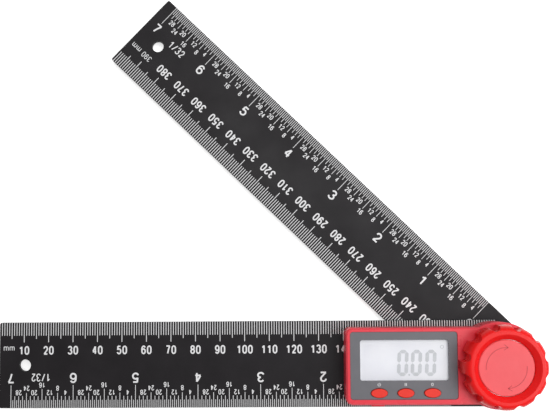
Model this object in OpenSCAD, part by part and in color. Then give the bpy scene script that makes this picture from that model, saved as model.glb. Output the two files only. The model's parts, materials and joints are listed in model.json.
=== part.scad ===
// Angle finder with two graduated arms, a digital display and a scalloped lock knob.
// The origin is on the pivot axis, at the back face of the hub. +Z runs towards the display.
// The fixed arm points along -X. The swing arm lies behind it and turns about Z.

/* [Arms] */
// Length of each arm, from the pivot axis to its tip
arm_length = 200; // [150:1:300]
// Width of each arm
arm_w = 34.7; // [34:0.1:38]
// Thickness of each arm
arm_t = 1.8; // [1.4:0.1:3]
// Angle between the two arms as drawn
open_angle = 44.2; // [20:0.1:160]
// Diameter of the hanging hole near each tip
hang_hole_d = 4.8; // [3:0.1:8]
// Distance from each tip to the middle of its hanging hole
hang_hole_inset = 10.4; // [6:0.1:20]
// Radius of the corners at each tip
tip_corner_r = 0.8; // [0.4:0.1:4]
// Chamfer along the two graduated edges
edge_chamfer = 0.3; // [0.1:0.05:0.6]

/* [Housing] */
// Distance from the pivot axis to the far end of the housing
housing_length = 59.9; // [59:0.1:75]
// Width of the housing beside the display
housing_w = 29.8; // [29:0.1:32]
// Height of the housing above the fixed arm
housing_h = 10; // [9.5:0.1:14]
// Thickness of the housing's side walls
housing_wall = 1.6; // [1.2:0.1:2]
// Radius of the housing's corners
housing_corner_r = 2.4; // [1.8:0.1:4]
// Bevel round the housing's top edge
rim_bevel = 0.6; // [0.2:0.1:1]
// How far the housing's round end stays inside the arm's edge
hub_inset = 0.4; // [0.1:0.05:0.8]
// Thickness of the roof that the display panel lies on
roof_t = 1; // [0.8:0.1:1.4]

/* [Display] */
// Gap between the lock knob's rim and the display panel
panel_knob_gap = 0.4; // [0.1:0.1:1]
// Thickness of the display panel
panel_t = 1.2; // [0.8:0.1:1.6]
// How far the panel lies below the housing's rim
panel_sink = 0.3; // [0:0.05:0.6]
// Rim of the housing at the panel's upper side
side_rim = 1.5; // [1.2:0.1:2]
// Rim of the housing at the panel's lower side
low_rim = 2.1; // [1.2:0.1:2.4]
// Rim of the housing at the panel's outer end
end_rim = 1.6; // [1.4:0.1:2.4]
// Radius of the panel's corners
panel_corner_r = 1.2; // [0.5:0.1:2]
// Gap between the window and the panel's outer end
window_end_gap = 3.9; // [3.7:0.1:6]
// Gap between the window and the panel's inner end
window_knob_gap = 3.4; // [3:0.1:8]
// Gap between the window and the panel's upper side
window_top_gap = 3.15; // [3:0.05:4]
// Gap between the window and the panel's lower side, with the buttons in it
window_low_gap = 7.25; // [7:0.05:9]
// Radius of the window's corners
window_corner_r = 1; // [0.5:0.1:2]

/* [Buttons] */
// Length of each oval button
button_l = 6.4; // [5:0.1:7]
// Width of each oval button
button_w = 3.5; // [3:0.1:3.8]
// Distance from one button to the next
button_pitch = 10.3; // [10.1:0.05:11]
// How far the middle button lies from the window's middle, towards the knob
button_offset = 0.35; // [0:0.05:1]
// Distance from the panel's lower side to the line of buttons
button_row = 2.5; // [2.4:0.1:3]
// How far each button travels
button_travel = 0.4; // [0.2:0.05:0.5]
// How far the buttons stand above the panel's face
button_rise = 0.6; // [0.5:0.05:1.2]

/* [Lock knob] */
// Diameter of the knob over its lobes
knob_d = 32.4; // [32:0.1:36]
// Height of the knob
knob_h = 7.9; // [7.5:0.1:9]
// Height of the knob's straight side
knob_side_h = 3.8; // [2:0.1:5]
// Diameter where the knob's rounded shoulder meets its flat top
knob_top_d = 27.6; // [27:0.1:30]
// Diameter of the recess in the knob's top
knob_recess_d = 25.5; // [25:0.1:26.6]
// Number of lobes round the knob
knob_lobes = 12; // [8:1:16]
// Depth of the notches between the lobes
notch_depth = 1.8; // [0.6:0.1:2]
// Radius of the notches between the lobes
notch_r = 2; // [1.5:0.1:3]

/* [Battery] */
// Diameter of the coin cell
cell_d = 20; // [19:0.1:20.2]
// Thickness of the coin cell
cell_t = 3.2; // [2:0.1:3.2]
// Wall of the cup that holds the cell
cup_wall = 1.05; // [0.9:0.05:1.1]
// Diameter of the battery cover
cover_d = 21.3; // [21.1:0.1:22.2]
// Thickness of the battery cover's rim
cover_t = 1; // [0.8:0.1:1.2]
// How far the cover lies below the knob's top
cover_sink = 2; // [1.6:0.1:2.2]
// Thickness of the seal ring's cord
seal_section_d = 0.9; // [0.7:0.05:1]

/* [Pivot] */
// Diameter of the spindle's stem
stem_d = 12; // [11:0.1:12.6]
// Outer diameter of the rotor sleeve
sleeve_d = 16; // [15.2:0.1:17]
// Diameter of the rotor disc
rotor_d = 27; // [22:0.5:28]
// Diameter of the rear cap
rear_cap_d = 31; // [24:0.5:34]
// Thickness of the rear cap
rear_cap_t = 1.6; // [1.5:0.1:2.5]
// Thickness of the friction washers
friction_washer_t = 0.15; // [0.1:0.05:0.3]
// Thickness of the knob's washer
knob_washer_t = 0.5; // [0.3:0.1:0.8]

/* [Hidden] */
$fn = 96;
over = 1;              // how far a cutter runs past the face it cuts

// Clearances
slip = 0.05;           // flat faces and round fits that turn on each other
sleeve_gap = 0.3;      // rotor sleeve inside the fixed arm's bore
panel_gap = 0.05;      // panel inside its recess
button_gap = 0.15;     // button inside its hole
pcb_gap = 0.4;         // circuit board to the housing's walls, bosses and the stem
cell_gap = 0.25;       // coin cell inside the cup
key_gap = 0.1;         // sides of the spindle's keys
plug_gap = 0.15;       // cover's plug inside the cup
rotor_gap = 0.4;       // rotor disc to the circuit board
plug_lift = 0.4;       // cover's plug above the coin cell
lip_gap = 0.15;        // knob's lip to the battery cover and to the cup's rim
lcd_gap = 0.2;         // display glass inside the opening of the roof

// Heights, from the back of the hub upwards
z_rear_washer = rear_cap_t;
z_swing = z_rear_washer + friction_washer_t + slip;
z_front_washer = z_swing + arm_t + slip;
z_fixed = z_front_washer + friction_washer_t;
z_arm_top = z_fixed + arm_t;
z_housing_top = z_arm_top + housing_h;
z_panel_top = z_housing_top - panel_sink;
z_roof = z_panel_top - panel_t;
z_ceiling = z_roof - roof_t;
rotor_t = 0.8;
rotor_lift = 0.9;      // rotor disc above the fixed arm
z_rotor = z_arm_top + rotor_lift;
pcb_t = 1;
z_pcb = z_rotor + rotor_t + rotor_gap;
z_pcb_top = z_pcb + pcb_t;
z_knob_washer = z_housing_top + slip;
z_knob = z_knob_washer + knob_washer_t + slip;
z_knob_top = z_knob + knob_h;
z_cover_top = z_knob_top - cover_sink;
z_cup_rim = z_cover_top - cover_t;
cup_floor_t = 1.2;
z_cup_floor = z_ceiling + cup_floor_t;
contact_rise = 0.8;    // height of the minus contact's arch under the cell
z_cell = z_cup_floor + contact_rise;
z_plug = z_cell + cell_t + plug_lift;

// Housing, panel and display in plan
hub_d = arm_w - 2*hub_inset;
panel_x = -housing_length + end_rim;
panel_l = -panel_x - knob_d/2 - panel_knob_gap;
panel_w = housing_w - side_rim - low_rim;
panel_y = -housing_w/2 + low_rim;
window_x = panel_x + window_end_gap;
window_l = panel_l - window_end_gap - window_knob_gap;
window_y = panel_y + window_low_gap;
window_w = panel_w - window_low_gap - window_top_gap;
lcd_margin = 0.9;      // display glass beyond the window
lcd_ledge = 1;         // contact ledge on the front glass
lcd_plate_t = 1.1;
lcd_x = window_x - lcd_margin;
lcd_y = window_y - lcd_margin;
lcd_l = window_l + 2*lcd_margin;
lcd_w = window_w + 2*lcd_margin + lcd_ledge;
zebra_w = 0.8;
button_x = [for (i = [-1:1]) window_x + window_l/2 + button_offset + i*button_pitch];
button_y = panel_y + button_row;
flange_lip = 0.6;      // button's flange past its cap
flange_t = 0.8;
dome_d = 4;
dome_h = 0.5;
pry_l = 3.5;           // pry notch at the panel's inner end
pry_w = 0.65;
pry_y = 0.6;
tab_l = 5.2;           // snap tab on the housing's lower side
tab_x = -49;
tab_reach = 2;
tab_t = 1.2;
foot_l = 9.4;          // foot at the lower side of the round end
foot_x = -1.6;
foot_lip = 0.35;       // foot past the arm's edge
foot_t = 2.5;

// Screws, bosses and stakes
screw_d = 1.8;
screw_head_d = 3.6;
screw_head_h = 0.9;
screw_slot_w = 0.45;
screw_reach = 5;       // length of each housing screw above the arm
boss_d = 4.4;
boss_end_inset = 4.4;
boss_side_inset = 3.6;
boss_hub_x = 16.3;
boss_y = housing_w/2 - boss_side_inset;
bosses = [[-housing_length + boss_end_inset, -boss_y], [-boss_hub_x, -boss_y], [-boss_hub_x, boss_y]];
stake_d = 2.2;
stake_pin_d = 1.2;
stake_head_h = 0.6;
stake_end_inset = 3.2;
stake_left_x = -housing_length + stake_end_inset;
stake_right_x = panel_x + panel_l - stake_pin_d/2;
stake_y = [8, -3];
stakes = [[stake_left_x, stake_y[0]], [stake_left_x, stake_y[1]], [stake_right_x, 0],
          [(button_x[0] + button_x[1])/2, button_y], [(button_x[1] + button_x[2])/2, button_y]];

// Hub
arm_bore_d = sleeve_d + 2*sleeve_gap;
sleeve_bore_d = stem_d + 2*slip;
rotor_shoulder = 0.8;  // step of the sleeve that the rotor disc rests on
rotor_seat_d = sleeve_d - 2*rotor_shoulder;
pcb_ring_d = hub_d - 2*housing_wall - 2*pcb_gap;
cup_bore_d = cell_d + 2*cell_gap;
cup_d = cup_bore_d + 2*cup_wall;
knob_bore_d = cup_d + 2*slip;
housing_bore_d = cup_d + 4*slip;
key_w = 2;
key_depth = 0.5;
plug_d = cup_bore_d - 2*plug_gap;
plug_wall = 1.6;
seal_d = cup_bore_d - 2*slip - seal_section_d;   // middle line of the ring
seal_drop = 1.2;       // seal below the cover's rim
knob_sleeve_wall = 1;
knob_shell_wall = 0.9;
knob_roof = 2.2;
knob_rib_w = 1;
washer_inset = 1;      // knob's washer inside the notches
washer_d = knob_d - 2*notch_depth - 2*washer_inset;
cap_screw_r = 3.7;
cap_screw_reach = 6;
cap_bevel = 0.5;
friction_washer_d = rear_cap_d - 2*washer_inset;
contact_w = 4;
contact_t = 0.2;
contact_slot_gap = 0.2;
leg_r = cup_bore_d/2 - 1.6;
minus_leg_x = -leg_r;
plus_leg_x = leg_r;
plus_x = cell_d/2 + slip;
plus_h = cell_t;

red = [0.92, 0.22, 0.27];
knob_red = [0.93, 0.16, 0.15];
cover_red = [1, 0.42, 0.44];
black = [0.14, 0.14, 0.15];
grey = [0.42, 0.44, 0.46];

// Points on a quarter of an ellipse, from its outer side round to its top
function shoulder(x, z, a, b, n) = [for (i = [0:n]) [x + a*cos(90*i/n), z + b*sin(90*i/n)]];
function oval(l, w) = [for (t = [0:10:350]) [l/2*cos(t), w/2*sin(t)]];

module rounded_rect(l, w, r) {
    translate([0, r]) square([l, w - 2*r]);
    translate([r, 0]) square([l - 2*r, w]);
    for (x = [r, l - r], y = [r, w - r]) translate([x, y]) circle(r = r);
}

module ring(d_out, d_in, h) {
    difference() {
        cylinder(d = d_out, h = h);
        translate([0, 0, -over]) cylinder(d = d_in, h = h + 2*over);
    }
}

// An arm along -X, its pivot on the origin and its back at z = 0
module arm_blank(bore) {
    difference() {
        intersection() {
            linear_extrude(arm_t) union() {
                circle(d = arm_w);
                translate([-arm_length, -arm_w/2 + tip_corner_r]) square([arm_length, arm_w - 2*tip_corner_r]);
                translate([-arm_length + tip_corner_r, -arm_w/2]) square([arm_length - tip_corner_r, arm_w]);
                for (s = [-1, 1]) translate([-arm_length + tip_corner_r, s*(arm_w/2 - tip_corner_r)])
                    circle(r = tip_corner_r);
            }
            translate([-arm_length - over, 0, 0]) rotate([90, 0, 90])
                linear_extrude(arm_length + arm_w) polygon([
                    [-arm_w/2, 0], [arm_w/2, 0], [arm_w/2, arm_t - edge_chamfer],
                    [arm_w/2 - edge_chamfer, arm_t], [-arm_w/2 + edge_chamfer, arm_t],
                    [-arm_w/2, arm_t - edge_chamfer]]);
        }
        translate([0, 0, -over]) cylinder(d = bore, h = arm_t + 2*over);
        translate([-arm_length + hang_hole_inset, 0, -over]) cylinder(d = hang_hole_d, h = arm_t + 2*over);
    }
}

// A countersunk screw that points up, its head flush with z = 0
module screw(reach) {
    difference() {
        union() {
            cylinder(d1 = screw_head_d, d2 = screw_d, h = screw_head_h);
            cylinder(d = screw_d, h = reach);
        }
        for (a = [0, 90]) rotate(a)
            translate([-screw_d/2, -screw_slot_w/2, -over]) cube([screw_d, screw_slot_w, over + screw_head_h/2]);
    }
}

// The hole that a screw fills
module screw_hole(reach) {
    cylinder(d1 = screw_head_d, d2 = screw_d, h = screw_head_h);
    translate([0, 0, -over]) cylinder(d = screw_head_d, h = over);
    cylinder(d = screw_d, h = reach + slip);
}

module fixed_arm() {
    color(black) difference() {
        translate([0, 0, z_fixed]) arm_blank(arm_bore_d);
        for (p = bosses) translate([p[0], p[1], z_fixed]) screw_hole(arm_t + over);
    }
}

module front_washer() {
    color("gainsboro") translate([0, 0, z_front_washer]) ring(friction_washer_d, arm_bore_d, friction_washer_t);
}

// Outside of the housing: the display box with a bevelled rim, and the round end over the pivot
module housing_body() {
    side_h = housing_h - rim_bevel;
    translate([-housing_length, -housing_w/2, 0])
        linear_extrude(side_h) rounded_rect(housing_length, housing_w, housing_corner_r);
    hull() {
        translate([-housing_length, -housing_w/2, side_h - rim_bevel])
            linear_extrude(rim_bevel) rounded_rect(housing_length, housing_w, housing_corner_r, $fn = 32);
        translate([-housing_length + rim_bevel, -housing_w/2 + rim_bevel, side_h])
            linear_extrude(rim_bevel)
                rounded_rect(housing_length - rim_bevel, housing_w - 2*rim_bevel, housing_corner_r - rim_bevel, $fn = 32);
    }
    cylinder(d = hub_d, h = side_h);
    translate([0, 0, side_h]) cylinder(d1 = hub_d, d2 = hub_d - 2*rim_bevel, h = rim_bevel);
    translate([tab_x, -housing_w/2 - tab_reach, 0]) cube([tab_l, tab_reach + housing_wall, tab_t]);
    translate([foot_x, -arm_w/2 - foot_lip, 0]) cube([foot_l, hub_d/2 - housing_bore_d/2, foot_t]);
}

// Room inside the housing, below its roof
module housing_room() {
    room_w = housing_w - 2*housing_wall;
    translate([-housing_length + housing_wall, -room_w/2, 0])
        linear_extrude(z_ceiling - z_arm_top)
            rounded_rect(housing_length - housing_wall, room_w, housing_corner_r - housing_wall/2);
    cylinder(d = hub_d - 2*housing_wall, h = z_ceiling - z_arm_top);
}

module front_housing() {
    color(red) difference() {
        union() {
            difference() {
                translate([0, 0, z_arm_top]) housing_body();
                translate([0, 0, z_arm_top]) housing_room();
            }
            for (p = bosses) translate([p[0], p[1], z_arm_top]) cylinder(d = boss_d, h = z_ceiling - z_arm_top);
            for (p = stakes) translate([p[0], p[1], 0]) {
                translate([0, 0, z_pcb_top]) cylinder(d = stake_d, h = z_ceiling - z_pcb_top);
                translate([0, 0, z_pcb]) cylinder(d = stake_pin_d, h = pcb_t);
                translate([0, 0, z_pcb - stake_head_h]) cylinder(d = stake_d, h = stake_head_h);
            }
        }
        // recess for the panel, with its pry notch
        translate([panel_x - panel_gap, panel_y - panel_gap, z_roof])
            linear_extrude(housing_h) rounded_rect(panel_l + 2*panel_gap, panel_w + 2*panel_gap, panel_corner_r);
        translate([panel_x + panel_l - over, pry_y - pry_l/2, z_roof]) cube([over + pry_w, pry_l, housing_h]);
        // openings for the display glass and the buttons
        translate([lcd_x - lcd_gap, lcd_y - lcd_gap, z_ceiling - over])
            cube([lcd_l + 2*lcd_gap, lcd_w + 2*lcd_gap, roof_t + 2*over]);
        for (x = button_x) translate([x, button_y, z_ceiling - over])
            linear_extrude(roof_t + 2*over) polygon(oval(button_l + 2*button_gap, button_w + 2*button_gap));
        // bore round the spindle's cup
        translate([0, 0, z_ceiling - over]) cylinder(d = housing_bore_d, h = housing_h);
        for (p = bosses) translate([p[0], p[1], z_fixed]) screw_hole(arm_t + screw_reach);
    }
    color(red) housing_keys();
}

// Two keys in the housing's bore stop the spindle from turning
module housing_keys() {
    key_h = z_housing_top - z_ceiling;
    translate([0, 0, z_ceiling]) intersection() {
        ring(housing_bore_d + over, cup_d - 2*key_depth, key_h);
        translate([-key_w/2, -housing_bore_d, 0]) cube([key_w, 2*housing_bore_d, key_h]);
    }
}

module housing_screws() {
    color("dimgray") for (p = bosses) translate([p[0], p[1], z_fixed]) screw(arm_t + screw_reach);
}

module display_panel() {
    color(grey) difference() {
        translate([panel_x, panel_y, z_roof]) linear_extrude(panel_t) rounded_rect(panel_l, panel_w, panel_corner_r);
        translate([window_x, window_y, z_roof - over])
            linear_extrude(panel_t + 2*over) rounded_rect(window_l, window_w, window_corner_r);
        for (x = button_x) translate([x, button_y, z_roof - over])
            linear_extrude(panel_t + 2*over) polygon(oval(button_l + 2*button_gap, button_w + 2*button_gap));
    }
}

module display_window() {
    color([0.9, 0.93, 0.95, 0.4]) translate([window_x, window_y, z_roof])
        linear_extrude(panel_t) rounded_rect(window_l, window_w, window_corner_r);
}

// Two glass plates right under the window. The front one is wider and carries the contact ledge.
module lcd_glass() {
    color([0.9, 0.9, 0.93]) translate([lcd_x, lcd_y, z_roof]) {
        translate([0, 0, -lcd_plate_t]) cube([lcd_l, lcd_w, lcd_plate_t]);
        translate([0, 0, -2*lcd_plate_t]) cube([lcd_l, lcd_w - lcd_ledge, lcd_plate_t]);
    }
}

module zebra_strip() {
    color("dimgray") translate([window_x, lcd_y + lcd_w - (lcd_ledge + zebra_w)/2, z_pcb_top])
        cube([window_l, zebra_w, z_roof - lcd_plate_t - z_pcb_top]);
}

// The circuit board, with the ring that reads the rotor
module main_pcb() {
    pcb_x = -housing_length + housing_wall + pcb_gap;
    pcb_w = housing_w - 2*housing_wall - 2*pcb_gap;
    notch_d = boss_d + 2*pcb_gap;
    color("darkgreen") difference() {
        translate([0, 0, z_pcb]) union() {
            translate([pcb_x, -pcb_w/2, 0]) cube([-pcb_x - pcb_ring_d/4, pcb_w, pcb_t]);
            cylinder(d = pcb_ring_d, h = pcb_t);
        }
        translate([0, 0, z_pcb - over]) cylinder(d = stem_d + 2*pcb_gap, h = pcb_t + 2*over);
        for (p = bosses) translate([p[0], p[1], z_pcb - over]) {
            cylinder(d = notch_d, h = pcb_t + 2*over);
            mirror([0, p[1] < 0 ? 1 : 0, 0]) translate([-notch_d/2, 0, 0]) cube([notch_d, pcb_w, pcb_t + 2*over]);
        }
        translate([bosses[0][0] - pcb_w, bosses[0][1] + notch_d/2 - pcb_w, z_pcb - over])
            cube([pcb_w, pcb_w, pcb_t + 2*over]);
        for (p = stakes) translate([p[0], p[1], z_pcb - over]) cylinder(d = stake_pin_d, h = pcb_t + 2*over);
    }
}

module chip_blob() {
    blob_r = 8;
    blob_h = 1;
    color("black") intersection() {
        translate([window_x + window_l/2, 0, z_pcb_top + blob_h - blob_r]) sphere(r = blob_r);
        translate([window_x, -window_w/2, z_pcb_top]) cube([window_l, window_w, blob_h + over]);
    }
}

module key_domes() {
    color("silver") for (x = button_x) translate([x, button_y, z_pcb_top])
        cylinder(d1 = dome_d, d2 = dome_d - 1, h = dome_h);
}

module button(x) {
    flange_z = z_ceiling - slip - flange_t;
    stem_z = z_pcb_top + dome_h + button_travel + slip;
    color([1, 0.25, 0.16]) translate([x, button_y, 0]) {
        translate([0, 0, flange_z]) linear_extrude(z_panel_top + button_rise - flange_z)
            polygon(oval(button_l, button_w));
        translate([0, 0, flange_z]) linear_extrude(flange_t)
            polygon(oval(button_l + 2*flange_lip, button_w + 2*flange_lip));
        translate([0, 0, stem_z]) cylinder(d = dome_d/2, h = flange_z - stem_z + flange_t/2);
    }
}
module button_power() { button(button_x[0]); }
module button_hold() { button(button_x[1]); }
module button_zero() { button(button_x[2]); }

// Stem through both arms, with the cup for the coin cell on top of it
module hub_spindle() {
    color([0.8, 0.8, 0.8]) difference() {
        union() {
            translate([0, 0, rear_cap_t]) cylinder(d = stem_d, h = z_ceiling - rear_cap_t + cup_floor_t/2);
            difference() {
                translate([0, 0, z_ceiling]) cylinder(d = cup_d, h = z_cup_rim - z_ceiling);
                translate([0, 0, z_cup_floor]) cylinder(d = cup_bore_d, h = z_cup_rim);
            }
        }
        for (a = [0, 120, 240]) rotate(a) translate([cap_screw_r, 0, 0])
            cylinder(d = screw_d, h = rear_cap_t + cap_screw_reach + slip);
        for (a = [0, 180]) rotate(a)
            translate([-key_w/2 - key_gap, cup_d/2 - key_depth - key_gap, z_ceiling - over])
                cube([key_w + 2*key_gap, cup_wall, z_housing_top - z_ceiling + over + slip]);
        // slots for the contacts' legs, and the pocket for the plus contact
        for (x = [minus_leg_x, plus_leg_x])
            translate([x - contact_t/2 - contact_slot_gap, -contact_w/2 - contact_slot_gap, z_ceiling - over])
                cube([contact_t + 2*contact_slot_gap, contact_w + 2*contact_slot_gap, cup_floor_t + 2*over]);
        translate([plus_x, -contact_w/2 - contact_slot_gap, z_cup_floor])
            cube([contact_t + slip, contact_w + 2*contact_slot_gap, plus_h + contact_rise]);
    }
}

module coin_cell() {
    pole_inset = 1.2;      // the minus pole is smaller than the can
    pole_h = 0.3;
    color("silver") translate([0, 0, z_cell]) union() {
        cylinder(d = cell_d - 2*pole_inset, h = cell_t);
        translate([0, 0, pole_h]) cylinder(d = cell_d, h = cell_t - pole_h);
    }
}

// A strip of sheet metal: the profile lies in XZ and runs across Y
module strip(profile) {
    translate([0, contact_w/2, 0]) rotate([90, 0, 0]) linear_extrude(contact_w) polygon(profile);
}

module contact_minus() {
    arch_l = leg_r;
    z0 = z_cup_floor;
    t = contact_t;
    color("gold") strip([
        [minus_leg_x - t/2, z_pcb_top], [minus_leg_x + t/2, z_pcb_top], [minus_leg_x + t/2, z0],
        [-arch_l/2, z0], [-arch_l/4, z_cell - t], [arch_l/4, z_cell - t], [arch_l/2, z0], [arch_l*0.8, z0],
        [arch_l*0.8, z0 + t], [arch_l/2, z0 + t], [arch_l/4, z_cell], [-arch_l/4, z_cell], [-arch_l/2, z0 + t],
        [minus_leg_x - t/2, z0 + t]]);
}

module contact_plus() {
    z0 = z_cup_floor;
    t = contact_t;
    color("gold") strip([
        [plus_leg_x - t/2, z_pcb_top], [plus_leg_x + t/2, z_pcb_top], [plus_leg_x + t/2, z0],
        [plus_x + t, z0], [plus_x + t, z_cell + plus_h - t], [plus_x, z_cell + plus_h - t], [plus_x, z0 + t],
        [plus_leg_x - t/2, z0 + t]]);
}

module rear_cap() {
    color(black) difference() {
        union() {
            cylinder(d1 = rear_cap_d - 2*cap_bevel, d2 = rear_cap_d, h = cap_bevel);
            translate([0, 0, cap_bevel]) cylinder(d = rear_cap_d, h = rear_cap_t - cap_bevel);
        }
        for (a = [0, 120, 240]) rotate(a) translate([cap_screw_r, 0, 0]) screw_hole(rear_cap_t + over);
    }
}

module rear_cap_screws() {
    color("dimgray") for (a = [0, 120, 240]) rotate(a) translate([cap_screw_r, 0, 0])
        screw(rear_cap_t + cap_screw_reach);
}

module rear_washer() {
    color("gainsboro") translate([0, 0, z_rear_washer]) ring(friction_washer_d, sleeve_bore_d, friction_washer_t);
}

module swing_arm() {
    color(black) rotate(-open_angle) translate([0, 0, z_swing]) arm_blank(sleeve_d);
}

// Pressed into the swing arm, it turns on the stem and carries the rotor disc
module rotor_sleeve() {
    color("gainsboro") difference() {
        union() {
            translate([0, 0, z_swing]) cylinder(d = sleeve_d, h = z_rotor - z_swing);
            translate([0, 0, z_swing]) cylinder(d = rotor_seat_d, h = z_rotor + rotor_t - z_swing);
        }
        cylinder(d = sleeve_bore_d, h = z_pcb);
    }
}

module rotor_disc() {
    color("darkgreen") translate([0, 0, z_rotor]) ring(rotor_d, rotor_seat_d, rotor_t);
}

module knob_washer() {
    color("gainsboro") translate([0, 0, z_knob_washer]) ring(washer_d, housing_bore_d + 2*slip, knob_washer_t);
}

module lock_knob() {
    r = knob_d/2;
    foot_bevel = 0.4;
    groove_in = knob_bore_d + 2*knob_sleeve_wall;
    groove_out = knob_d - 2*notch_depth - 2*knob_shell_wall;
    lip_r = cover_d/2 + lip_gap;
    lip_z = knob_h - cover_sink - cover_t + lip_gap;
    color(knob_red) difference() {
        translate([0, 0, z_knob]) rotate_extrude() polygon(concat(
            [[knob_bore_d/2, 0], [r - foot_bevel, 0], [r, foot_bevel]],
            shoulder(knob_top_d/2, knob_side_h, r - knob_top_d/2, knob_h - knob_side_h, 10),
            [[knob_recess_d/2, knob_h], [lip_r, knob_h - cover_sink], [lip_r, lip_z], [knob_bore_d/2, lip_z]]));
        for (i = [0:knob_lobes - 1]) rotate(360*(i + 0.5)/knob_lobes)
            translate([r - notch_depth + notch_r, 0, z_knob - over]) cylinder(r = notch_r, h = knob_h + 2*over);
        // moulded hollow under the shell, with a rib behind each lobe
        difference() {
            translate([0, 0, z_knob - over]) ring(groove_out, groove_in, over + knob_h - knob_roof);
            for (i = [0:knob_lobes - 1]) rotate(360*i/knob_lobes)
                translate([groove_in/2 - over, -knob_rib_w/2, z_knob - 2*over])
                    cube([groove_out/2, knob_rib_w, knob_h]);
        }
    }
}

module cover_seal() {
    color("dimgray") translate([0, 0, z_cup_rim - seal_drop]) rotate_extrude()
        translate([seal_d/2, 0]) circle(d = seal_section_d);
}

module battery_cover() {
    rim_r = cover_d/2;
    edge = 0.3;
    color(cover_red) difference() {
        union() {
            translate([0, 0, z_cup_rim]) cylinder(d = cover_d, h = cover_t - edge);
            translate([0, 0, z_cover_top - edge]) cylinder(r1 = rim_r, r2 = rim_r - edge, h = edge);
            translate([0, 0, z_plug]) cylinder(d = plug_d, h = z_cup_rim - z_plug);
        }
        translate([0, 0, z_cup_rim - seal_drop - seal_section_d/2 - slip])
            ring(plug_d + over, seal_d - seal_section_d - 2*slip, seal_section_d + 2*slip);
        translate([0, 0, z_plug - over]) cylinder(d = seal_d - seal_section_d - plug_wall, h = z_cup_rim - z_plug + over);
    }
}

fixed_arm();
front_washer();
front_housing();
housing_screws();
display_panel();
display_window();
lcd_glass();
zebra_strip();
main_pcb();
chip_blob();
key_domes();
button_power();
button_hold();
button_zero();
hub_spindle();
coin_cell();
contact_plus();
contact_minus();
rear_cap();
rear_cap_screws();
rear_washer();
swing_arm();
rotor_sleeve();
rotor_disc();
knob_washer();
lock_knob();
cover_seal();
battery_cover();
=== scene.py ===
# %% [markdown]
# # A digital angle finder
#
# Two flat black arms share one pivot. A red housing on the fixed arm reads the angle between them, and
# a scalloped knob over the pivot locks them. The moving parts were constructed beforehand, with real
# sizes, and this notebook dresses them: camera, finishes, printed scales, display, small marks, light.
#
# Blender works in metres. Lengths are given here in millimetres, and `mm()` or the last step of each
# mesh turns them into metres. Only the floor and the lamps are so large that metres suit them.

# %% Open the constructed model
import json
import math

import bmesh
import bpy
from mathutils import Matrix, Vector


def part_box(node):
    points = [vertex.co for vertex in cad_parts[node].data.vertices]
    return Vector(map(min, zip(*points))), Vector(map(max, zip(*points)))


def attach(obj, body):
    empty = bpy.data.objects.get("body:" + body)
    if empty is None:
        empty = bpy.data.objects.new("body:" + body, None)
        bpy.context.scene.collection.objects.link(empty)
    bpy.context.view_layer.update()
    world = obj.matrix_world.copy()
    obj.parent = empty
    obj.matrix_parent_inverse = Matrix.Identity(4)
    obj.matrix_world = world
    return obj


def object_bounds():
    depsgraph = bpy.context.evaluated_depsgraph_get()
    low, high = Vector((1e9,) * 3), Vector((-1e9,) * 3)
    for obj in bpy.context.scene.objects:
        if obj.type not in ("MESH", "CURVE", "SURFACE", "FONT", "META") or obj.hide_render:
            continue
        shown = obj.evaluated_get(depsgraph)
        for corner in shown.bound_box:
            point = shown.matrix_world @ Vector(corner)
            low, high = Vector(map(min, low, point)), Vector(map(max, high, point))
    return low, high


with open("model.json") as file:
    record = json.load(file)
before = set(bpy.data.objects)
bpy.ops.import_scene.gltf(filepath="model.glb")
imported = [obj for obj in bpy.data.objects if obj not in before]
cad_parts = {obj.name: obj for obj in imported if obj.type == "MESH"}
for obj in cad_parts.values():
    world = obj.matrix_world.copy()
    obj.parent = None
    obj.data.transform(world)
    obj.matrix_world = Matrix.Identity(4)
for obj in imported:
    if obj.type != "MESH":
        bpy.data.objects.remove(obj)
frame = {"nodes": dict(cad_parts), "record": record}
node = frame["nodes"]
cad_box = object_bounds()
MM = 0.001


def mm(*lengths):
    """Millimetres to metres: one number, or a Vector of several."""
    if len(lengths) == 1:
        return lengths[0] * MM
    return Vector(lengths) * MM


size = (cad_box[1] - cad_box[0]) / MM
print(f"{len(node)} pieces, {size.x:.1f} x {size.y:.1f} x {size.z:.1f} mm")

# %% [markdown]
# ## Where the pieces are
#
# The faces that the marks lie on are read from the constructed pieces: the tops of both arms, of the
# grey panel, of the display glass and of the battery cover. The swing arm's direction comes from its
# hanging hole. So if a piece becomes thicker or the arms are opened further, the marks go with them.

# %% Faces and directions
fixed_low, fixed_high = [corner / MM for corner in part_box("fixed_arm")]
swing_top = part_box("swing_arm")[1].z / MM
panel_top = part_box("display_panel")[1].z / MM
lcd_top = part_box("lcd_glass")[1].z / MM
cover_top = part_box("battery_cover")[1].z / MM

arm_length = -fixed_low.x
half_width = fixed_high.y
holes = {m["name"]: Vector(m["pos_m"]) / MM for m in frame["record"]["mounts"]}
swing_angle = math.atan2(holes["swing_hang_hole"].y, holes["swing_hang_hole"].x)
print(f"arm {arm_length:.0f} x {2 * half_width:.1f} mm, turned {math.degrees(swing_angle):.1f} degrees")

# %% [markdown]
# ## Camera
#
# A product picture like this one is taken from almost straight above, with the lens over the wedge
# between the arms. That is why the left wall of the knob shows and its right wall doesn't. The camera
# hangs 266 mm above the bench and leans by less than three degrees. A slight vertical shift of the
# lens frames the object without tilting the camera, as an architect's camera does.

# %% Hang the camera
IMAGE_W, IMAGE_H = 550, 414
FOCAL_PX = 640                       # focal length, in pixels of the picture
HORIZON_ROW = 260                    # picture row that the lens looks at squarely
SENSOR_W = 36
CAMERA_AT = mm(-83.70, 30.39, 266.44)
CAMERA_LEAN = (2.597, 0.824, -0.425)  # turns about x, y and z, in degrees


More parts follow.
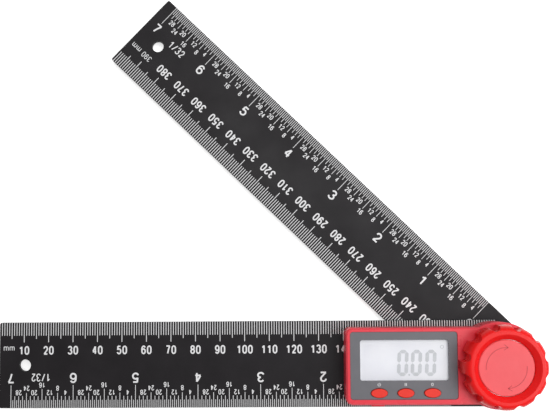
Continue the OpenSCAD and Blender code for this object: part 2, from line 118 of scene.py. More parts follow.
def hang_camera(place, lean):
    data = bpy.data.cameras.new("camera")
    data.sensor_width = SENSOR_W
    data.lens = FOCAL_PX / IMAGE_W * SENSOR_W
    data.shift_y = (HORIZON_ROW - IMAGE_H / 2) / IMAGE_W
    camera = bpy.data.objects.new("camera", data)
    bpy.context.scene.collection.objects.link(camera)
    turn = Matrix.Translation(place)
    for degrees, axis in zip(lean, "XYZ"):
        turn @= Matrix.Rotation(math.radians(degrees), 4, axis)
    camera.matrix_world = turn
    return camera


bpy.context.scene.camera = hang_camera(CAMERA_AT, CAMERA_LEAN)
print(f"lens {bpy.context.scene.camera.data.lens:.1f} mm")

# %% [markdown]
# ## A kit for finishes
#
# Each finish starts as one Principled shader. Moulded plastic is never perfectly even: the pigment
# drifts a little, the sheen changes where fingers have been, and the tool leaves a fine texture. Three
# small helpers add just that: `drift` varies the colour, `sheen` varies the roughness and `grain` adds
# a bump. They all read object coordinates, so the pattern sits still on the piece.

# %% One shader with its constant values
PLASTIC_IOR = 1.46


def finish(name, colour, roughness, metallic=0.0, specular=0.5, coat=0.0):
    material = bpy.data.materials.new(name)
    material.use_nodes = True
    shader = material.node_tree.nodes["Principled BSDF"]
    shader.inputs["Base Color"].default_value = (*colour, 1)
    shader.inputs["Roughness"].default_value = roughness
    shader.inputs["Metallic"].default_value = metallic
    shader.inputs["IOR"].default_value = PLASTIC_IOR
    shader.inputs["Specular IOR Level"].default_value = specular
    shader.inputs["Coat Weight"].default_value = coat
    material.diffuse_color = (*colour, 1)
    return material


# %% Noise in object coordinates, shared by the helpers below
NOISE_LOW, NOISE_HIGH = 0.3, 0.7     # where nearly all values of the noise lie


def noise(material, grains_per_mm, detail=3.0, stretch=(1, 1, 1)):
    nodes, links = material.node_tree.nodes, material.node_tree.links
    place = nodes.new("ShaderNodeTexCoord")
    scale = nodes.new("ShaderNodeMapping")
    scale.inputs["Scale"].default_value = [grains_per_mm / MM * s for s in stretch]
    texture = nodes.new("ShaderNodeTexNoise")
    texture.inputs["Scale"].default_value = 1
    texture.inputs["Detail"].default_value = detail
    links.new(place.outputs["Object"], scale.inputs["Vector"])
    links.new(scale.outputs["Vector"], texture.inputs["Vector"])
    return texture.outputs["Fac"]


def spread(material, signal, low, high):
    """Stretches a noise, which stays near the middle, out to the range from low to high."""
    ramp = material.node_tree.nodes.new("ShaderNodeMapRange")
    ramp.inputs["From Min"].default_value = NOISE_LOW
    ramp.inputs["From Max"].default_value = NOISE_HIGH
    ramp.inputs["To Min"].default_value = low
    ramp.inputs["To Max"].default_value = high
    material.node_tree.links.new(signal, ramp.inputs["Value"])
    return ramp.outputs["Result"]


# %% Colour, sheen and grain
def drift(material, second_colour, patch_mm, share=1.0, detail=3.0):
    """Lets the colour wander towards a second one, by up to `share`, in patches of about that size."""
    nodes, links = material.node_tree.nodes, material.node_tree.links
    shader = nodes["Principled BSDF"]
    mix = nodes.new("ShaderNodeMix")
    mix.data_type = "RGBA"
    mix.inputs["A"].default_value = shader.inputs["Base Color"].default_value
    mix.inputs["B"].default_value = (*second_colour, 1)
    links.new(spread(material, noise(material, 1 / patch_mm, detail), 0, share), mix.inputs["Factor"])
    links.new(mix.outputs["Result"], shader.inputs["Base Color"])
    return material


def sheen(material, low, high, patch_mm):
    """Lets the roughness wander between two values."""
    shader = material.node_tree.nodes["Principled BSDF"]
    signal = spread(material, noise(material, 1 / patch_mm), low, high)
    material.node_tree.links.new(signal, shader.inputs["Roughness"])
    return material


def grain(material, grain_mm, depth_mm, stretch=(1, 1, 1)):
    """A bump of that depth. A stretch under 1 along an axis draws the grains out along it."""
    nodes, links = material.node_tree.nodes, material.node_tree.links
    bump = nodes.new("ShaderNodeBump")
    bump.inputs["Strength"].default_value = 1
    bump.inputs["Distance"].default_value = mm(depth_mm)
    links.new(noise(material, 1 / grain_mm, 2.0, stretch), bump.inputs["Height"])
    links.new(bump.outputs["Normal"], nodes["Principled BSDF"].inputs["Normal"])
    return material


# %% [markdown]
# ## The finishes of this object
#
# The arms are black filled plastic with a fine satin texture, rubbed a little greyer in places. The
# housing and the knob are glossy red mouldings of two slightly different reds, the battery cover is a
# paler, drier red, and the button caps are nearer to orange. The panel is a satin grey.

# %% Plastics that show
def black_arm_plastic():
    made = finish("arm_plastic", (0.0060, 0.0048, 0.0060), 0.42, specular=0.17)
    drift(made, (0.0110, 0.0092, 0.0110), 9.0, 0.8)
    sheen(made, 0.34, 0.48, 14.0)
    return grain(made, 0.22, 0.012)


def housing_red():
    made = finish("housing_plastic", (0.80, 0.044, 0.068), 0.30, specular=0.4)
    drift(made, (0.74, 0.034, 0.057), 11.0, 0.6)
    sheen(made, 0.24, 0.34, 7.0)
    return grain(made, 0.9, 0.006)


def knob_red():
    made = finish("knob_plastic", (0.86, 0.007, 0.007), 0.28, specular=0.24)
    drift(made, (0.80, 0.005, 0.005), 8.0, 0.6)
    sheen(made, 0.25, 0.36, 6.0)
    return grain(made, 0.8, 0.006)


def cover_red():
    made = finish("cover_plastic", (0.85, 0.116, 0.128), 0.48, specular=0.3)
    drift(made, (0.80, 0.102, 0.114), 4.0, 0.7)
    sheen(made, 0.42, 0.54, 5.0)
    return grain(made, 0.30, 0.010)


def button_red():
    made = finish("button_plastic", (0.82, 0.038, 0.022), 0.36, specular=0.3)
    drift(made, (0.74, 0.030, 0.018), 2.0, 0.6)
    sheen(made, 0.36, 0.48, 2.5)
    return grain(made, 0.25, 0.008)


def panel_grey():
    made = finish("panel_plastic", (0.136, 0.136, 0.150), 0.40, specular=0.3)
    drift(made, (0.152, 0.149, 0.164), 5.0, 0.8)
    sheen(made, 0.34, 0.46, 9.0)
    return grain(made, 0.18, 0.005)


# %% Rubber, board, resin and the plain inner plastics
def seal_rubber():
    made = finish("seal_rubber", (0.022, 0.022, 0.022), 0.62)
    drift(made, (0.035, 0.034, 0.033), 1.5)
    return grain(made, 0.15, 0.010)


def layered_rubber():
    """The strip between display and board: thin conducting layers in silicone."""
    made = finish("contact_rubber", (0.10, 0.10, 0.11), 0.55)
    drift(made, (0.30, 0.28, 0.30), 0.2, 1.0, detail=0.0)
    return grain(made, 0.20, 0.008, stretch=(1, 0.05, 1))


def circuit_board():
    made = finish("circuit_board", (0.016, 0.135, 0.050), 0.32, coat=0.3)
    drift(made, (0.040, 0.210, 0.085), 1.6, 0.9, detail=1.0)
    return grain(made, 0.35, 0.008)


def chip_resin():
    made = finish("chip_resin", (0.010, 0.010, 0.011), 0.18, coat=0.5)
    drift(made, (0.020, 0.019, 0.019), 1.2)
    return grain(made, 0.8, 0.010)


def rear_cap_plastic():
    made = finish("cap_plastic", (0.018, 0.018, 0.020), 0.50, specular=0.36)
    drift(made, (0.034, 0.033, 0.035), 5.0)
    sheen(made, 0.44, 0.58, 6.0)
    return grain(made, 0.25, 0.014)


def natural_acetal():
    made = finish("bearing_plastic", (0.78, 0.77, 0.72), 0.38)
    drift(made, (0.70, 0.69, 0.63), 3.0)
    return grain(made, 0.5, 0.006)


def slip_film():
    made = finish("washer_film", (0.74, 0.74, 0.71), 0.46)
    drift(made, (0.64, 0.64, 0.61), 2.5)
    return grain(made, 0.4, 0.005)


# %% [markdown]
# Metal shows by what it mirrors, so its tool marks matter more than its colour. Turning leaves fine
# rings and rolling leaves long streaks. Both are the same grain stretched one way.

# %% Metals
def screw_steel():
    made = finish("screw_steel", (0.26, 0.26, 0.27), 0.38, metallic=1.0)
    drift(made, (0.40, 0.40, 0.41), 0.8)
    return grain(made, 0.12, 0.006)


def dome_steel():
    made = finish("dome_steel", (0.60, 0.60, 0.58), 0.24, metallic=1.0)
    drift(made, (0.50, 0.50, 0.49), 1.0)
    return grain(made, 0.3, 0.003)


def turned_alloy():
    made = finish("spindle_metal", (0.44, 0.44, 0.45), 0.34, metallic=1.0)
    drift(made, (0.36, 0.36, 0.38), 2.0)
    return grain(made, 0.10, 0.006, stretch=(0.3, 0.3, 4))


def cell_steel():
    made = finish("cell_steel", (0.66, 0.66, 0.65), 0.26, metallic=1.0)
    drift(made, (0.56, 0.56, 0.55), 3.0)
    return grain(made, 0.15, 0.004, stretch=(4, 0.3, 1))


def contact_brass():
    made = finish("contact_brass", (0.68, 0.50, 0.20), 0.28, metallic=1.0)
    drift(made, (0.56, 0.38, 0.14), 1.2)
    return grain(made, 0.12, 0.004, stretch=(0.3, 4, 1))


# %% [markdown]
# The lens is a flat clear plate. Bending light through it would cost much time and show nothing, so
# it is made as a mirror that is nearly absent when you look straight down and grows towards the edge
# of sight, which is what real glass does. The display under it is pale and a little cloudy.

# %% Lens, display and inks
LENS_IOR = 1.45
SCRATCH_MM, SCRATCH_SHARE = 1.5, 0.012  # size and strength of the faint scuffs


def window_lens():
    made = finish("window_lens", (0.95, 0.96, 0.98), 0.03, metallic=1.0)
    nodes, links = made.node_tree.nodes, made.node_tree.links
    glance = nodes.new("ShaderNodeFresnel")
    glance.inputs["IOR"].default_value = LENS_IOR
    scratches = spread(made, noise(made, 1 / SCRATCH_MM, 4.0), 0.0, SCRATCH_SHARE)
    total = nodes.new("ShaderNodeMath")
    total.operation = "ADD"
    links.new(glance.outputs["Fac"], total.inputs[0])
    links.new(scratches, total.inputs[1])
    links.new(total.outputs["Value"], nodes["Principled BSDF"].inputs["Alpha"])
    made.surface_render_method = "BLENDED"
    return grain(made, 2.5, 0.002)


def display_glass():
    made = finish("display_glass", (0.80, 0.80, 0.845), 0.25)
    drift(made, (0.86, 0.86, 0.885), 12.0)
    return grain(made, 1.5, 0.002)


def ink(name, colour, worn_colour, patch_mm=0.5, share=0.8):
    made = finish(name, colour, 0.50)
    drift(made, worn_colour, patch_mm, share)
    return grain(made, 0.10, 0.006)


# %% Put the finishes on the constructed pieces
for plain in list(bpy.data.materials):
    bpy.data.materials.remove(plain)     # the model's plain colours give way to the finishes

finishes = {made.name: made for made in (
    black_arm_plastic(), housing_red(), knob_red(), cover_red(), button_red(), panel_grey(),
    seal_rubber(), layered_rubber(), circuit_board(), chip_resin(), rear_cap_plastic(),
    natural_acetal(), slip_film(), screw_steel(), dome_steel(), turned_alloy(), cell_steel(),
    contact_brass(), window_lens(), display_glass())}
scale_ink = ink("scale_print", (0.86, 0.86, 0.87), (0.68, 0.68, 0.69))

for part in frame["record"]["subparts"]:
    piece = node[part["node"]]
    piece.data.materials.clear()
    piece.data.materials.append(finishes[part["material_slot"]])
print(len(finishes), "finishes")

# %% [markdown]
# ## Soft edges
#
# A constructed solid has edges of zero radius, and no moulded part has. A small bevel gives an edge the
# thin highlight that makes plastic look like plastic. The bevel goes on as a modifier, so the
# constructed shape itself stays as it is. First a weld joins the corners that the file stores once per
# face, and then flat faces that were cut into triangles are made whole.
#
# The widths below are wishes. Blender narrows the bevel of a whole piece until it fits the piece's
# shortest edges, because otherwise it throws out spikes there. Measured, the panel, the cover, the
# rear cap and the cell get their full width and the button caps about 0.28 mm. The knob and the arms
# get only 0.03 mm, the spindle 0.02 mm, and the housing, with its small posts inside, 0.005 mm.

# %% Bevel the constructed pieces
WELD_MM = 0.001
FLAT, CORNER = 0.5, 30.0             # degrees: less counts as flat, more as an edge to soften


def soften(name, width_mm):
    piece = node[name]
    weld = piece.modifiers.new("weld", "WELD")
    weld.merge_threshold = mm(WELD_MM)
    flats = piece.modifiers.new("flats", "DECIMATE")
    flats.decimate_type = "DISSOLVE"
    flats.angle_limit = math.radians(FLAT)
    bevel = piece.modifiers.new("bevel", "BEVEL")
    bevel.width = mm(width_mm)
    bevel.segments = 3
    bevel.limit_method = "ANGLE"
    bevel.angle_limit = math.radians(CORNER)
    bevel.harden_normals = True
    bevel.use_clamp_overlap = True


SOFT_EDGES = {
    "front_housing": 0.30, "lock_knob": 0.25, "battery_cover": 0.06, "display_panel": 0.10,
    "button_power": 0.70, "button_hold": 0.70, "button_zero": 0.70, "rear_cap": 0.15,
    "fixed_arm": 0.08, "swing_arm": 0.08, "coin_cell": 0.15, "hub_spindle": 0.10}
for name, width in SOFT_EDGES.items():
    soften(name, width)
print(len(SOFT_EDGES), "pieces with soft edges")

# %% [markdown]
# ## Marks as thin solids
#
# Printed marks are a few hundredths of a millimetre of ink. They could be painted into the material,
# but then they would blur close up and be lost in a mesh file. Here each mark is a real thin solid on
# the face it was printed on, so a helper is needed that gathers many small solids into one mesh.

# %% A tray that collects small solids
INK_H = 0.03


class Tray:
    """Gathers small solids, given in millimetres in a local frame, into one mesh."""

    def __init__(self, place=None):
        self.mesh = bmesh.new()
        self.place = place or Matrix.Identity(4)

    def sweep(self, rows, closed=False):
        """A solid skin through rows of corners. A closed one joins its last row to its first."""
        rows = [[self.mesh.verts.new(self.place @ Vector(p)) for p in row] for row in rows]
        for first, second in zip(rows, rows[1:] + rows[:1] if closed else rows[1:]):
            for k in range(len(first)):
                j = (k + 1) % len(first)
                self.mesh.faces.new((first[k], first[j], second[j], second[k]))
        if not closed:
            self.mesh.faces.new(rows[0])
            self.mesh.faces.new(reversed(rows[-1]))

    def plate(self, outline, z=0.0, height=INK_H):
        self.sweep([[(x, y, level) for x, y in outline] for level in (z, z + height)])

    def piece(self, name, body, slot, material):
        data = bpy.data.meshes.new(name)
        bmesh.ops.recalc_face_normals(self.mesh, faces=self.mesh.faces)
        bmesh.ops.scale(self.mesh, vec=(MM, MM, MM), verts=self.mesh.verts)
        self.mesh.to_mesh(data)
        self.mesh.free()
        data.materials.append(material)
        made = bpy.data.objects.new(name, data)
        bpy.context.scene.collection.objects.link(made)
        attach(made, body)
        return made


# %% [markdown]
# ## Numerals
#
# The numerals are plain, bold and narrow. A font would do, but its digits can't be made narrower
# without making their upright strokes thin. So each digit is drawn here as a sign painter would do it:
# a few centre lines in a box of one by one, followed by a brush of constant width. The box is then
# stretched to the digit's size and the brush is not. The m and the slash are made the same way.

# %% The centre lines of each digit
ARC_STEP = 20                        # degrees


def arc(x, y, across, up, start, end):
    """Points on a part of an ellipse, from one angle to another in degrees."""
    count = max(2, round(abs(end - start) / ARC_STEP))
    turns = [math.radians(start + (end - start) * i / count) for i in range(count + 1)]
    return [(x + across * math.cos(t), y + up * math.sin(t)) for t in turns]


def oval(x, y, across, up):
    return arc(x, y, across, up, 0, 360 - ARC_STEP)


SIX = [("loop", oval(0.5, 0.31, 0.5, 0.31)),
       ("line", [(0, 0.31)] + arc(0.52, 0.60, 0.52, 0.40, 180, 32))]
STROKES = {
    "0": [("loop", arc(0.5, 0.68, 0.5, 0.32, 0, 180) + arc(0.5, 0.32, 0.5, 0.32, 180, 360))],
    "1": [("line", [(0.62, 0), (0.62, 1)]), ("line", [(0.08, 0.76), (0.34, 0.81), (0.58, 0.97)])],
    "2": [("line", arc(0.5, 0.71, 0.48, 0.29, 175, -20) + [(0.80, 0.48), (0.10, 0.03)]),
          ("line", [(0, 0), (1, 0)])],
    "3": [("line", arc(0.46, 0.765, 0.46, 0.235, 165, -90)),
          ("line", arc(0.46, 0.265, 0.54, 0.265, 90, -165))],
    "4": [("line", [(0.72, 0), (0.72, 1)]), ("line", [(0.66, 0.96), (0.04, 0.32)]),
          ("line", [(0, 0.27), (1, 0.27)])],
    "5": [("line", [(0.94, 1), (0.12, 1)]), ("line", [(0.16, 1), (0.09, 0.50)]),
          ("line", arc(0.48, 0.32, 0.52, 0.32, 140, -160))],
    "6": SIX,
    "7": [("line", [(0, 1), (1, 1)]), ("line", [(0.95, 0.98), (0.60, 0.50), (0.38, 0)])],
    "8": [("loop", oval(0.5, 0.765, 0.44, 0.235)), ("loop", oval(0.5, 0.265, 0.5, 0.265))],
    "9": [(kind, [(1 - x, 1 - y) for x, y in points]) for kind, points in SIX],
    "m": [("line", [(0, 0), (0, 1)]), ("line", arc(0.26, 0.70, 0.26, 0.30, 170, 0) + [(0.52, 0)]),
          ("line", arc(0.76, 0.70, 0.24, 0.30, 170, 0) + [(1, 0)])],
    "/": [("line", [(0.1, 0), (0.9, 1)])]}


# %% A brush that follows a centre line
SHARPEST = 0.5                       # a sharper turn than 120 degrees gets a blunt corner


def brush(tray, points, width, closed, height=INK_H):
    """Sweeps a flat bar along the points, and widens it where they turn so that it stays as wide."""
    points = [Vector(p) for p in points]
    count = len(points)
    rows = []
    for i, here in enumerate(points):
        before, after = points[i - 1], points[(i + 1) % count]
        runs = []
        if closed or i > 0:
            runs.append((here - before).normalized())
        if closed or i < count - 1:
            runs.append((after - here).normalized())
        run = sum(runs, Vector((0, 0))).normalized()
        side = Vector((-run.y, run.x))
        straight = Vector((-runs[0].y, runs[0].x))
        side *= width / 2 / max(SHARPEST, side.dot(straight))
        rows.append([(*(here + side), 0), (*(here - side), 0),
                     (*(here - side), height), (*(here + side), height)])
    tray.sweep(rows, closed)


# %% A short row of numerals
INK_STEP = 0.002                     # each stroke lies a little higher than the one it crosses


def lettering(tray, text, x, foot, height, width, stroke, gap):
    """Paints text with its middle at x and its foot at that height, in the tray's frame."""
    left = x - (len(text) * width + (len(text) - 1) * gap) / 2 + stroke / 2
    foot += stroke / 2
    for letter in text:
        for i, (kind, points) in enumerate(STROKES[letter]):
            placed = [(left + across * (width - stroke), foot + up * (height - stroke))
                      for across, up in points]
            brush(tray, placed, stroke, kind == "loop", INK_H + i * INK_STEP)
        left += width + gap


# %% [markdown]
# ## The scales
#
# An edge scale is easiest to think of in its own frame: x along the edge, y towards the edge and zero
# on it, z up out of the arm. Both scales of an arm have the tops of their numerals towards their own
# edge, so the same code draws all four of them, each through its own placing matrix.
#
# A tick runs across the flat and then down the small chamfer, as print does.

# %% The frame of an edge, and one tick in it
CHAMFER = 0.3
TICK_W = 0.27


def edge_frame(origin, angle, z):
    return Matrix.Translation((origin.x, origin.y, z)) @ Matrix.Rotation(angle, 4, "Z")


def tick(tray, x, length, width=TICK_W):
    """A printed line from the edge inwards, its foot on the chamfer."""
    left, right = x - width / 2, x + width / 2
    down = CHAMFER - INK_H
    stations = (((-length, 0), (-length, INK_H)), ((-CHAMFER, 0), (-CHAMFER, INK_H)),
                ((-INK_H, -down), (-INK_H / 2, INK_H / 2 - down)))
    tray.sweep([[(left, *foot), (right, *foot), (right, *top), (left, *top)] for foot, top in stations])


# %% [markdown]
# The metric scale has a short line for each millimetre, a longer one for each five and the longest
# for each ten. A numeral stands over every tenth line.

# %% Metric scale
MILLIMETRE, FIVE, TEN = 5.3, 6.6, 8.0
TENS_FOOT = -13.07
TENS = dict(height=3.55, width=1.92, stroke=0.56, gap=0.38)


def metric_scale(tray, first, last, zero_reads, shown):
    """Lines from first to last millimetre, with numerals at the tens between the two ends of shown."""
    for k in range(first, last + 1):
        length = TEN if k % 10 == 0 else FIVE if k % 5 == 0 else MILLIMETRE
        tick(tray, k, length)
        if k % 10 == 0 and shown[0] <= k <= shown[1]:
            lettering(tray, str(zero_reads + k), k, TENS_FOOT, **TENS)


# %% [markdown]
# The inch scale is divided into thirty-seconds. Small numerals count every fourth one, and they stand
# clear of their own line, so the row steps up to the middle of the inch and down again. `way` is +1
# where the inches grow along the reading direction and -1 where they grow against it.

# %% Inch scale
INCH = 25.4
PARTS = 32
WHOLE, HALF, QUARTER, EIGHTH, FINEST = 9.3, 7.8, 6.2, 4.9, 3.3
INCH_TICK_W = 0.22                   # finer than a metric line
INCH_FOOT = -14.25
INCHES = dict(height=4.15, width=2.8, stroke=0.66, gap=0.5)
SMALL = dict(height=2.1, width=1.12, stroke=0.30, gap=0.22)
SMALL_FOOT = {16: -10.4, 8: -9.1, 24: -9.1}
EIGHTH_FOOT = -7.35


def division_length(part):
    """The sixteenths are as long as the eighths."""
    steps = ((32, WHOLE), (16, HALF), (8, QUARTER), (2, EIGHTH))
    return next((length for step, length in steps if part % step == 0), FINEST)


def inch_scale(tray, inches, way, numerals):
    for part in range(inches * PARTS + 1):
        x = way * part * INCH / PARTS
        tick(tray, x, division_length(part), INCH_TICK_W)
        rest = part % PARTS
        if rest and rest % 4 == 0:
            lettering(tray, str(rest), x, SMALL_FOOT.get(rest, EIGHTH_FOOT), **SMALL)
    for number in numerals:
        lettering(tray, str(number), way * number * INCH, INCH_FOOT, **INCHES)


# %% [markdown]
# The fixed arm counts 0 to 200 from its tip to the pivot, and the swing arm goes on from 200 at the
# pivot to 400 at its tip. Under the housing no numeral is needed, because nobody sees it. The places
# of "mm", 390 and 1/32 are measured from the arm's tip and from its edge.

# %% Print both arms
FIXED_MM = dict(first=1, last=201, zero_reads=0, shown=(10, 140))
SWING_MM = dict(first=20, last=199, zero_reads=200, shown=(20, 180))
INCH_ZERO = 17.4                     # from the pivot to the zero of the inch scales
LAST_INCH = 7
FIXED_INCHES, SWING_INCHES = range(2, LAST_INCH + 1), range(LAST_INCH + 1)
FRACTION = dict(height=3.2, width=1.7, stroke=0.42, gap=0.3)
FRACTION_INSET, FRACTION_FOOT, FRACTION_FOOT_SWING = 17, -14.0, -14.5
UNIT = dict(height=1.75, width=2.0, stroke=0.26, gap=0.42)
UNIT_INSET, UNIT_FOOT = 3.85, -11.4
THIN = dict(height=2.4, width=1.25, stroke=0.26, gap=0.35)
THIN_INSET, THIN_UNIT_INSET, THIN_FOOT = 10.0, 4.1, -12.1


def print_fixed_arm():
    top = fixed_high.z
    upper = Tray(edge_frame(Vector((-arm_length, half_width)), 0, top))
    metric_scale(upper, **FIXED_MM)
    lettering(upper, "mm", UNIT_INSET, UNIT_FOOT, **UNIT)
    lower = Tray(edge_frame(Vector((-INCH_ZERO, -half_width)), math.pi, top))
    inch_scale(lower, LAST_INCH, 1, FIXED_INCHES)
    lettering(lower, "1/32", arm_length - INCH_ZERO - FRACTION_INSET, FRACTION_FOOT, **FRACTION)
    return [upper.piece("fixed_scale_mm", "base", "scale_print", scale_ink),
            lower.piece("fixed_scale_inch", "base", "scale_print", scale_ink)]


def print_swing_arm():
    along = Vector((math.cos(swing_angle), math.sin(swing_angle)))
    across = Vector((-along.y, along.x))
    outer = Tray(edge_frame(across * half_width, swing_angle, swing_top))
    metric_scale(outer, **SWING_MM)
    lettering(outer, "390", arm_length - THIN_INSET, THIN_FOOT, **THIN)
    lettering(outer, "mm", arm_length - THIN_UNIT_INSET, THIN_FOOT, **UNIT)
    inner = Tray(edge_frame(along * INCH_ZERO - across * half_width, swing_angle + math.pi, swing_top))
    inch_scale(inner, LAST_INCH, -1, SWING_INCHES)
    lettering(inner, "1/32", INCH_ZERO - arm_length + FRACTION_INSET, FRACTION_FOOT_SWING, **FRACTION)
    return [outer.piece("swing_scale_mm", "swing", "scale_print", scale_ink),
            inner.piece("swing_scale_inch", "swing", "scale_print", scale_ink)]


for made in print_fixed_arm() + print_swing_arm():
    print(made.name, len(made.data.vertices), "corners")

# %% [markdown]
# ## The display
#
# A numeral on a liquid crystal display is made of up to seven bars with pointed ends, leaning a
# little. Here the display reads 0.00 in faint grey, with a small ring for the degree sign.

# %% The bars of a nought
# BAR_W is wider than a segment alone: each bar also covers the shadow that its segment casts on the
# reflector behind it, so the outer part of each bar is painted shadow.
BAR_W, BAR_GAP, LEAN = 1.4, 0.08, 0.05
NOUGHT = ("tl tr", "tr mr", "mr br", "bl br", "ml bl", "tl ml")  # the two ends of each of its bars


def bar(tray, start, end, z):
    """A bar with pointed ends between two points."""
    start, end = Vector(start), Vector(end)
    run = (end - start).normalized()
    side = Vector((-run.y, run.x)) * BAR_W / 2
    start, end = start + run * BAR_GAP, end - run * BAR_GAP
    outline = [start, start + run * BAR_W / 2 - side, end - run * BAR_W / 2 - side,
               end, end - run * BAR_W / 2 + side, start + run * BAR_W / 2 + side]
    tray.plate([(p.x + LEAN * p.y, p.y) for p in outline], z)


def display_nought(tray, x, y, width, height, z):
    """Six bars between the top, middle and bottom corners of the digit's box."""
    level = {"b": y, "m": y + height / 2, "t": y + height}
    side = {"l": x, "r": x + width}
    for ends in NOUGHT:
        start, end = [(side[corner[1]], level[corner[0]]) for corner in ends.split()]
        bar(tray, start, end, z)


# %% [markdown]
# A pale sheet of polariser covers the glass and the digits lie on it, only a shade darker than the
# sheet. The lens rests on the glass in the constructed model, so sheet and digits take up the lowest
# 0.05 mm of the lens.

# %% Lay the sheet and the digits on the glass
SHEET_H = 0.02


def disc(centre, radius, sides=12):
    turns = [2 * math.pi * i / sides for i in range(sides)]
    return [(centre[0] + radius * math.cos(turn), centre[1] + radius * math.sin(turn))
            for turn in turns]


def ring(tray, centre, radius, width, z, height=INK_H, start=0.0, sweep=2 * math.pi, steps=32):
    """A flat ring, or a part of one when the sweep is less than a full turn."""
    closed = abs(sweep) > 2 * math.pi - 0.001
    inner, outer = radius - width / 2, radius + width / 2
    rows = []
    for i in range(steps if closed else steps + 1):
        turn = start + sweep * i / steps
        x, y = math.cos(turn), math.sin(turn)
        section = ((inner, z), (outer, z), (outer, z + height), (inner, z + height))
        rows.append([(centre[0] + r * x, centre[1] + r * y, level) for r, level in section])
    tray.sweep(rows, closed)


DIGIT_LEFTS = (-39.2, -33.9, -28.3)
DIGIT_FOOT, DIGIT_W, DIGIT_H = -3.2, 2.9, 8.8
POINT, POINT_R = (-35.25, -3.45), 0.38
DEGREE, DEGREE_R, DEGREE_W = (-22.3, 7.4), 0.62, 0.24


def polariser():
    low, high = [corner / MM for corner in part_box("lcd_glass")]
    tray = Tray()
    tray.plate([(low.x, low.y), (high.x, low.y), (high.x, high.y), (low.x, high.y)], lcd_top, SHEET_H)
    return tray.piece("display_polariser", "base", "display_glass", finishes["display_glass"])


def reading():
    tray = Tray()
    top = lcd_top + SHEET_H
    for left in DIGIT_LEFTS:
        display_nought(tray, left, DIGIT_FOOT, DIGIT_W, DIGIT_H, top)
    tray.plate(disc(POINT, POINT_R), top)
    ring(tray, DEGREE, DEGREE_R, DEGREE_W, top)
    return tray.piece("display_reading", "base", "display_glass", digit_ink)


digit_ink = ink("digit_ink", (0.53, 0.54, 0.56), (0.60, 0.61, 0.63), 1.5)
print(polariser().name, reading().name, "lie at", round(lcd_top, 2), "mm")

# %% [markdown]
# ## Marks beside the buttons
#
# The three buttons switch on, hold the reading and set zero. Plain signs say that: a power sign, two
# bars and a 0.

# %% Print the three signs
SIGN_Y = -7.0                        # middle of the signs, between the window and the buttons
SIGN_R, SIGN_LINE = 0.55, 0.16
POWER_START, POWER_SWEEP, POWER_BAR = math.radians(125), math.radians(290), 0.75
PAUSE_APART, PAUSE_W = 0.56, 0.24
ZERO = dict(height=1.2, width=0.85, stroke=0.18, gap=0)


def button_signs():
    power, hold, zero = [sum(corner.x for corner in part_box(name)) / 2 / MM
                         for name in ("button_power", "button_hold", "button_zero")]
    tray = Tray(Matrix.Translation((0, 0, panel_top)))
    ring(tray, (power, SIGN_Y), SIGN_R, SIGN_LINE, 0, start=POWER_START, sweep=POWER_SWEEP)
    brush(tray, [(power, SIGN_Y), (power, SIGN_Y + POWER_BAR)], SIGN_LINE, False)
    for side in (-PAUSE_APART / 2, PAUSE_APART / 2):
        brush(tray, [(hold + side, SIGN_Y - SIGN_R), (hold + side, SIGN_Y + SIGN_R)], PAUSE_W, False)
    lettering(tray, "0", zero, SIGN_Y - ZERO["height"] / 2, **ZERO)
    return tray.piece("button_signs", "base", "scale_print", scale_ink)


print(button_signs().name)

# %% [markdown]
# ## Arrows on the battery cover
#
# Two curved arrows show which way the cover turns. They are moulded a tenth of a millimetre proud of
# the cover, in its own plastic, and are given a darker red: painted shade, standing in for the shading
# that makes the thin ribs read as dark lines.

# %% Mould the arrows
ARROW_R, ARROW_W, ARROW_H = 7.7, 0.28, 0.10
HEAD_L, HEAD_ANGLE = 1.8, 145        # each stroke of the head, and how far it turns back
ARROW_STEPS = 24
ARROWS = ((185, -100), (5, -92))     # start and sweep, in degrees


def curved_arrow(tray, start, sweep):
    """An arc with an open head at its far end. Angles are in degrees."""
    start, sweep = math.radians(start), math.radians(sweep)
    ring(tray, (0, 0), ARROW_R, ARROW_W, 0, ARROW_H, start, sweep, ARROW_STEPS)
    tip = Vector((math.cos(start + sweep), math.sin(start + sweep))) * ARROW_R
    forward = Vector((-tip.y, tip.x)).normalized() * math.copysign(1, sweep)
    for turn in (HEAD_ANGLE, -HEAD_ANGLE):
        wing = Matrix.Rotation(math.radians(turn), 2) @ forward
        brush(tray, [tip, tip + wing * HEAD_L], ARROW_W, False, ARROW_H)


def cover_arrows():
    tray = Tray(Matrix.Translation((0, 0, cover_top)))
    for start, sweep in ARROWS:
        curved_arrow(tray, start, sweep)
    return tray.piece("cover_arrows", "cover", "cover_plastic", arrow_painted_shade)


# The arrows' darker red is painted shade, for the shading along the thin ribs.
arrow_painted_shade = ink("arrow_painted_shade", (0.52, 0.045, 0.055), (0.62, 0.065, 0.075), 1.0)
print(cover_arrows().name)

# %% [markdown]
# ## Bench, lamps and background
#
# The floor and the sky are white to the camera and in reflections, but they light the object only
# gently. Most of the light comes from two broad lamps, as in a tent, which keeps the shadow soft. The
# levels are set so that a colour renders about as it is written. The lamp at the side hangs where the
# lens doesn't mirror it into the camera, and the one at the top lends the upper arm its sheen.

# %% Floor
FLOOR_GLOW = 0.66                    # what the camera sees on top of the lamps' light
FLOOR_HALF = 3.0                     # metres
FLOOR_Z = mm(-0.05)                  # a hair below, so that the rear cap doesn't share its plane


def seen_by_eye(tree):
    """A signal that is 1 for camera, mirror and glass rays and 0 for the rays that light things."""
    path = tree.nodes.new("ShaderNodeLightPath")
    signal = path.outputs["Is Camera Ray"]
    for ray in ("Is Glossy Ray", "Is Transmission Ray"):
        either = tree.nodes.new("ShaderNodeMath")
        either.operation = "MAXIMUM"
        tree.links.new(signal, either.inputs[0])
        tree.links.new(path.outputs[ray], either.inputs[1])
        signal = either.outputs["Value"]
    return signal


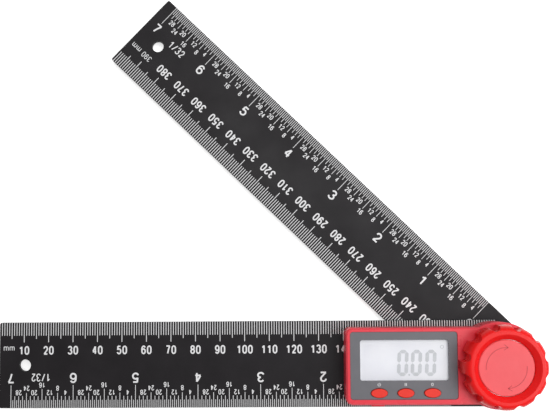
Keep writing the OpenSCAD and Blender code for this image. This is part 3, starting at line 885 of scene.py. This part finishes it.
def floor_white():
    made = finish("floor_white", (0.80, 0.80, 0.80), 0.9, specular=0.1)
    nodes, links = made.node_tree.nodes, made.node_tree.links
    glow = nodes.new("ShaderNodeEmission")
    level = nodes.new("ShaderNodeMath")
    level.operation = "MULTIPLY"
    level.inputs[1].default_value = FLOOR_GLOW
    links.new(seen_by_eye(made.node_tree), level.inputs[0])
    links.new(level.outputs["Value"], glow.inputs["Strength"])
    both = nodes.new("ShaderNodeAddShader")
    links.new(nodes["Principled BSDF"].outputs["BSDF"], both.inputs[0])
    links.new(glow.outputs["Emission"], both.inputs[1])
    links.new(both.outputs["Shader"], nodes["Material Output"].inputs["Surface"])
    return made


def lay_floor():
    mesh = bpy.data.meshes.new("floor")
    ways = ((-1, -1), (1, -1), (1, 1), (-1, 1))
    corners = [(x * FLOOR_HALF, y * FLOOR_HALF, FLOOR_Z) for x, y in ways]
    mesh.from_pydata(corners, [], [(0, 1, 2, 3)])
    mesh.materials.append(floor_white())
    floor = bpy.data.objects.new("floor", mesh)
    bpy.context.scene.collection.objects.link(floor)
    return floor


print(lay_floor().name)

# %% Sky and lamps
def light_sky(strength):
    world = bpy.data.worlds.new("sky")
    world.use_nodes = True
    bpy.context.scene.world = world
    nodes, links = world.node_tree.nodes, world.node_tree.links
    sky = nodes["Background"]
    sky.inputs["Color"].default_value = (1, 1, 1, 1)
    sky.inputs["Strength"].default_value = strength
    backdrop = nodes.new("ShaderNodeBackground")
    backdrop.inputs["Color"].default_value = (1, 1, 1, 1)
    mix = nodes.new("ShaderNodeMixShader")
    links.new(seen_by_eye(world.node_tree), mix.inputs["Fac"])
    links.new(sky.outputs["Background"], mix.inputs[1])
    links.new(backdrop.outputs["Background"], mix.inputs[2])
    links.new(mix.outputs["Shader"], nodes["World Output"].inputs["Surface"])


def hang_lamp(name, place, target, width, watts):
    data = bpy.data.lights.new(name, "AREA")
    data.shape = "SQUARE"
    data.size = width
    data.energy = watts
    lamp = bpy.data.objects.new(name, data)
    bpy.context.scene.collection.objects.link(lamp)
    lamp.location = place
    lamp.rotation_euler = (Vector(target) - Vector(place)).to_track_quat("-Z", "Y").to_euler()
    return lamp


SKY = 0.27
MIDDLE = (-0.09, 0.06, 0.0)          # where both lamps point, in metres like their own places
LAMPS = {"side": dict(place=(0.50, -0.02, 0.74), width=0.50, watts=4.3),
         "top": dict(place=(0.00, 0.33, 0.86), width=0.60, watts=3.5)}

light_sky(SKY)
for name, lamp in LAMPS.items():
    hang_lamp(name, target=MIDDLE, **lamp)
bpy.context.scene.view_settings.view_transform = "Standard"
